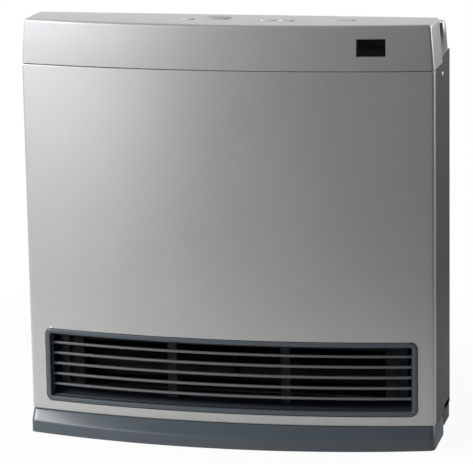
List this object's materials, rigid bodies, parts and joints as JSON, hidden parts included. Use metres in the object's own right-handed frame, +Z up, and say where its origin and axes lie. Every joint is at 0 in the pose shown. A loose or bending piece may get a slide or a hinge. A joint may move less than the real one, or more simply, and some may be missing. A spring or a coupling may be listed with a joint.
{
  "type": "gas convector heater",
  "caption": "Slim floor-standing gas convector heater with bowed front, outlet louvre, plinth, top controls, slide-out rear filters and cross-flow fan.",
  "frame": {"origin": "on the floor under the middle of the overall box", "axes": "+Z up, -Y out of the bowed front, +Y towards the wall, +X to the viewer's right"},
  "size_m": [0.4612, 0.152, 0.472],
  "materials": {
    "silver_paint": "satin metallic silver paint",
    "silver_moulding": "satin silver moulding",
    "slate_moulding": "satin slate grey moulding",
    "charcoal_moulding": "matt charcoal moulding",
    "black_lens": "gloss smoked black",
    "dark_button": "satin dark grey",
    "light_button": "satin pale grey",
    "zinc_steel": "zinc coated sheet",
    "heat_steel": "aluminised sheet, heat tinted",
    "fan_plastic": "moulded impeller",
    "brass": "machined brass",
    "cast_alloy": "die cast",
    "bright_steel": "bright steel",
    "circuit_board": "green laminate",
    "ceramic": "glazed ceramic",
    "rubber": "matt rubber",
    "filter_mesh": "moulded filter frame"
  },
  "bodies": {
    "cabinet": {"plinth": "slate_moulding", "foot_front_left": "rubber", "foot_front_right": "rubber", "foot_rear_left": "rubber", "foot_rear_right": "rubber", "rear_lower_cover": "charcoal_moulding", "front_panel": "silver_paint", "top_cover": "silver_moulding", "rear_top_cover": "silver_moulding", "side_panel_right": "silver_paint", "side_panel_left": "silver_paint", "side_screw_right": "bright_steel", "side_screw_left": "bright_steel", "rear_casing": "silver_moulding", "display_window": "black_lens", "display_board": "circuit_board", "switch_board": "circuit_board", "louvre_frame": "slate_moulding", "louvre_blade_1": "slate_moulding", "louvre_blade_2": "slate_moulding", "louvre_blade_3": "slate_moulding", "louvre_blade_4": "slate_moulding", "louvre_blade_5": "slate_moulding", "louvre_stay_1": "slate_moulding", "louvre_stay_2": "slate_moulding", "louvre_stay_3": "slate_moulding", "louvre_stay_4": "slate_moulding", "fan_motor": "zinc_steel", "fan_bearing": "brass", "chassis_floor": "zinc_steel", "partition_right": "zinc_steel", "partition_left": "zinc_steel", "top_rail": "zinc_steel", "fan_scroll": "zinc_steel", "fan_tongue": "zinc_steel", "combustion_chamber": "heat_steel", "burner": "heat_steel", "gas_valve": "cast_alloy", "gas_injector": "brass", "gas_pipe": "cast_alloy", "gas_inlet": "brass", "ignition_electrode": "ceramic", "flame_sensor": "ceramic", "control_board": "circuit_board", "cord_gland": "rubber", "transformer": "zinc_steel", "igniter_module": "charcoal_moulding"},
    "fan_rotor": {"fan_impeller": "fan_plastic", "fan_stub_left": "bright_steel", "fan_stub_right": "bright_steel"},
    "left_filter": {"filter_left": "filter_mesh"},
    "right_filter": {"filter_right": "filter_mesh"},
    "power_button": {"button_power": "dark_button"},
    "cooler_button": {"button_cooler": "light_button"},
    "warmer_button": {"button_warmer": "light_button"},
    "timer_button": {"button_timer": "light_button"},
    "lock_button": {"button_lock": "light_button"}
  },
  "joints": [
    {"name": "fan_spin", "type": "hinge", "parent": "cabinet", "child": "fan_rotor", "pos_m": [0, 0.023, 0.084], "axis": [1, 0, 0], "continuous": true},
    {"name": "left_filter_slide", "type": "slide", "parent": "cabinet", "child": "left_filter", "axis": [0, 0, 1], "range_m": [0, 0.19]},
    {"name": "right_filter_slide", "type": "slide", "parent": "cabinet", "child": "right_filter", "axis": [0, 0, 1], "range_m": [0, 0.19]},
    {"name": "power_press", "type": "slide", "parent": "cabinet", "child": "power_button", "axis": [0, 0, -1], "range_m": [0, 0.0012], "stiffness_N_per_m": 600},
    {"name": "cooler_press", "type": "slide", "parent": "cabinet", "child": "cooler_button", "axis": [0, 0, -1], "range_m": [0, 0.0012], "stiffness_N_per_m": 600},
    {"name": "warmer_press", "type": "slide", "parent": "cabinet", "child": "warmer_button", "axis": [0, 0, -1], "range_m": [0, 0.0012], "stiffness_N_per_m": 600},
    {"name": "timer_press", "type": "slide", "parent": "cabinet", "child": "timer_button", "axis": [0, 0, -1], "range_m": [0, 0.0012], "stiffness_N_per_m": 600},
    {"name": "lock_press", "type": "slide", "parent": "cabinet", "child": "lock_button", "axis": [0, 0, -1], "range_m": [0, 0.0012], "stiffness_N_per_m": 600}
  ]
}
